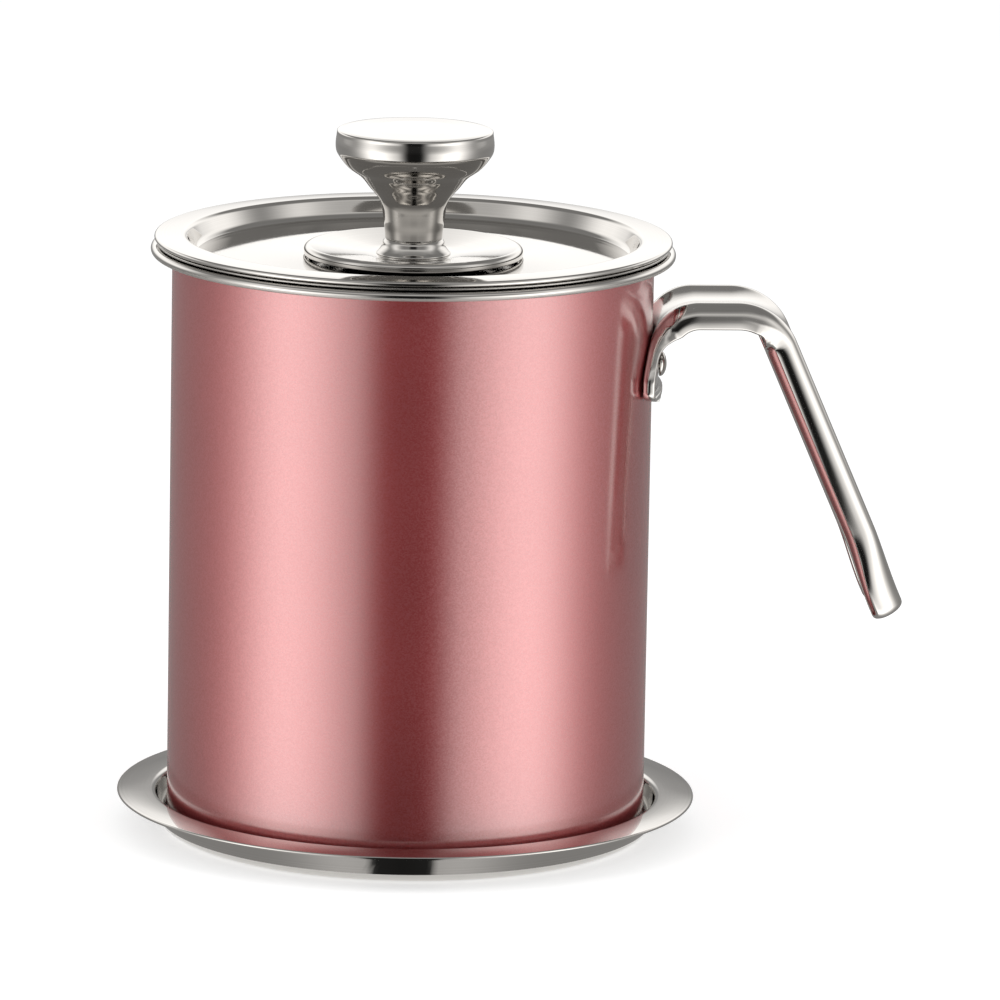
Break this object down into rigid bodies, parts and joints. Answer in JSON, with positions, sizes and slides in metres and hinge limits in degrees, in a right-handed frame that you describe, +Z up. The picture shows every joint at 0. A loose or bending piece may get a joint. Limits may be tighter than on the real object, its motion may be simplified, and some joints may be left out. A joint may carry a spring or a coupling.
{
  "type": "bacon grease container",
  "caption": "Lidded steel grease container: coated pot with a riveted strap handle, drop-in strainer, drawn lid with a turned knob, and a separate drip tray.",
  "frame": {"origin": "on the pot's axis, in the plane of the tray's flat underside, which stands on the worktop", "axes": "+Z up along the pot's axis; +X towards the handle; +Y to the side"},
  "size_m": [0.1875, 0.139, 0.1707],
  "materials": {
    "rose_coating": "rose metallic lacquer under a clear coat on steel; bare polished steel on the rim and inside",
    "polished_steel": "mirror-polished stainless steel",
    "satin_steel": "satin stainless steel",
    "zinc_steel": "plain bright fastener steel"
  },
  "bodies": {
    "tray": {"tray": "polished_steel"},
    "pot": {"pot_body": "rose_coating", "handle": "polished_steel", "handle_rivet": "polished_steel"},
    "strainer": {"strainer_frame": "satin_steel", "strainer_screen": "satin_steel", "strainer_ring": "satin_steel"},
    "lid": {"lid": "polished_steel", "knob_seat": "polished_steel", "knob_collar": "polished_steel", "knob": "polished_steel", "knob_screw": "zinc_steel", "knob_washer": "zinc_steel"}
  },
  "joints": [
    {"name": "pot_lift", "type": "slide", "parent": "tray", "child": "pot", "axis": [0, 0, 1], "range_m": [0, 0.05]},
    {"name": "strainer_lift", "type": "slide", "parent": "pot", "child": "strainer", "axis": [0, 0, 1], "range_m": [0, 0.06]},
    {"name": "lid_lift", "type": "slide", "parent": "strainer", "child": "lid", "axis": [0, 0, 1], "range_m": [0, 0.06]}
  ]
}
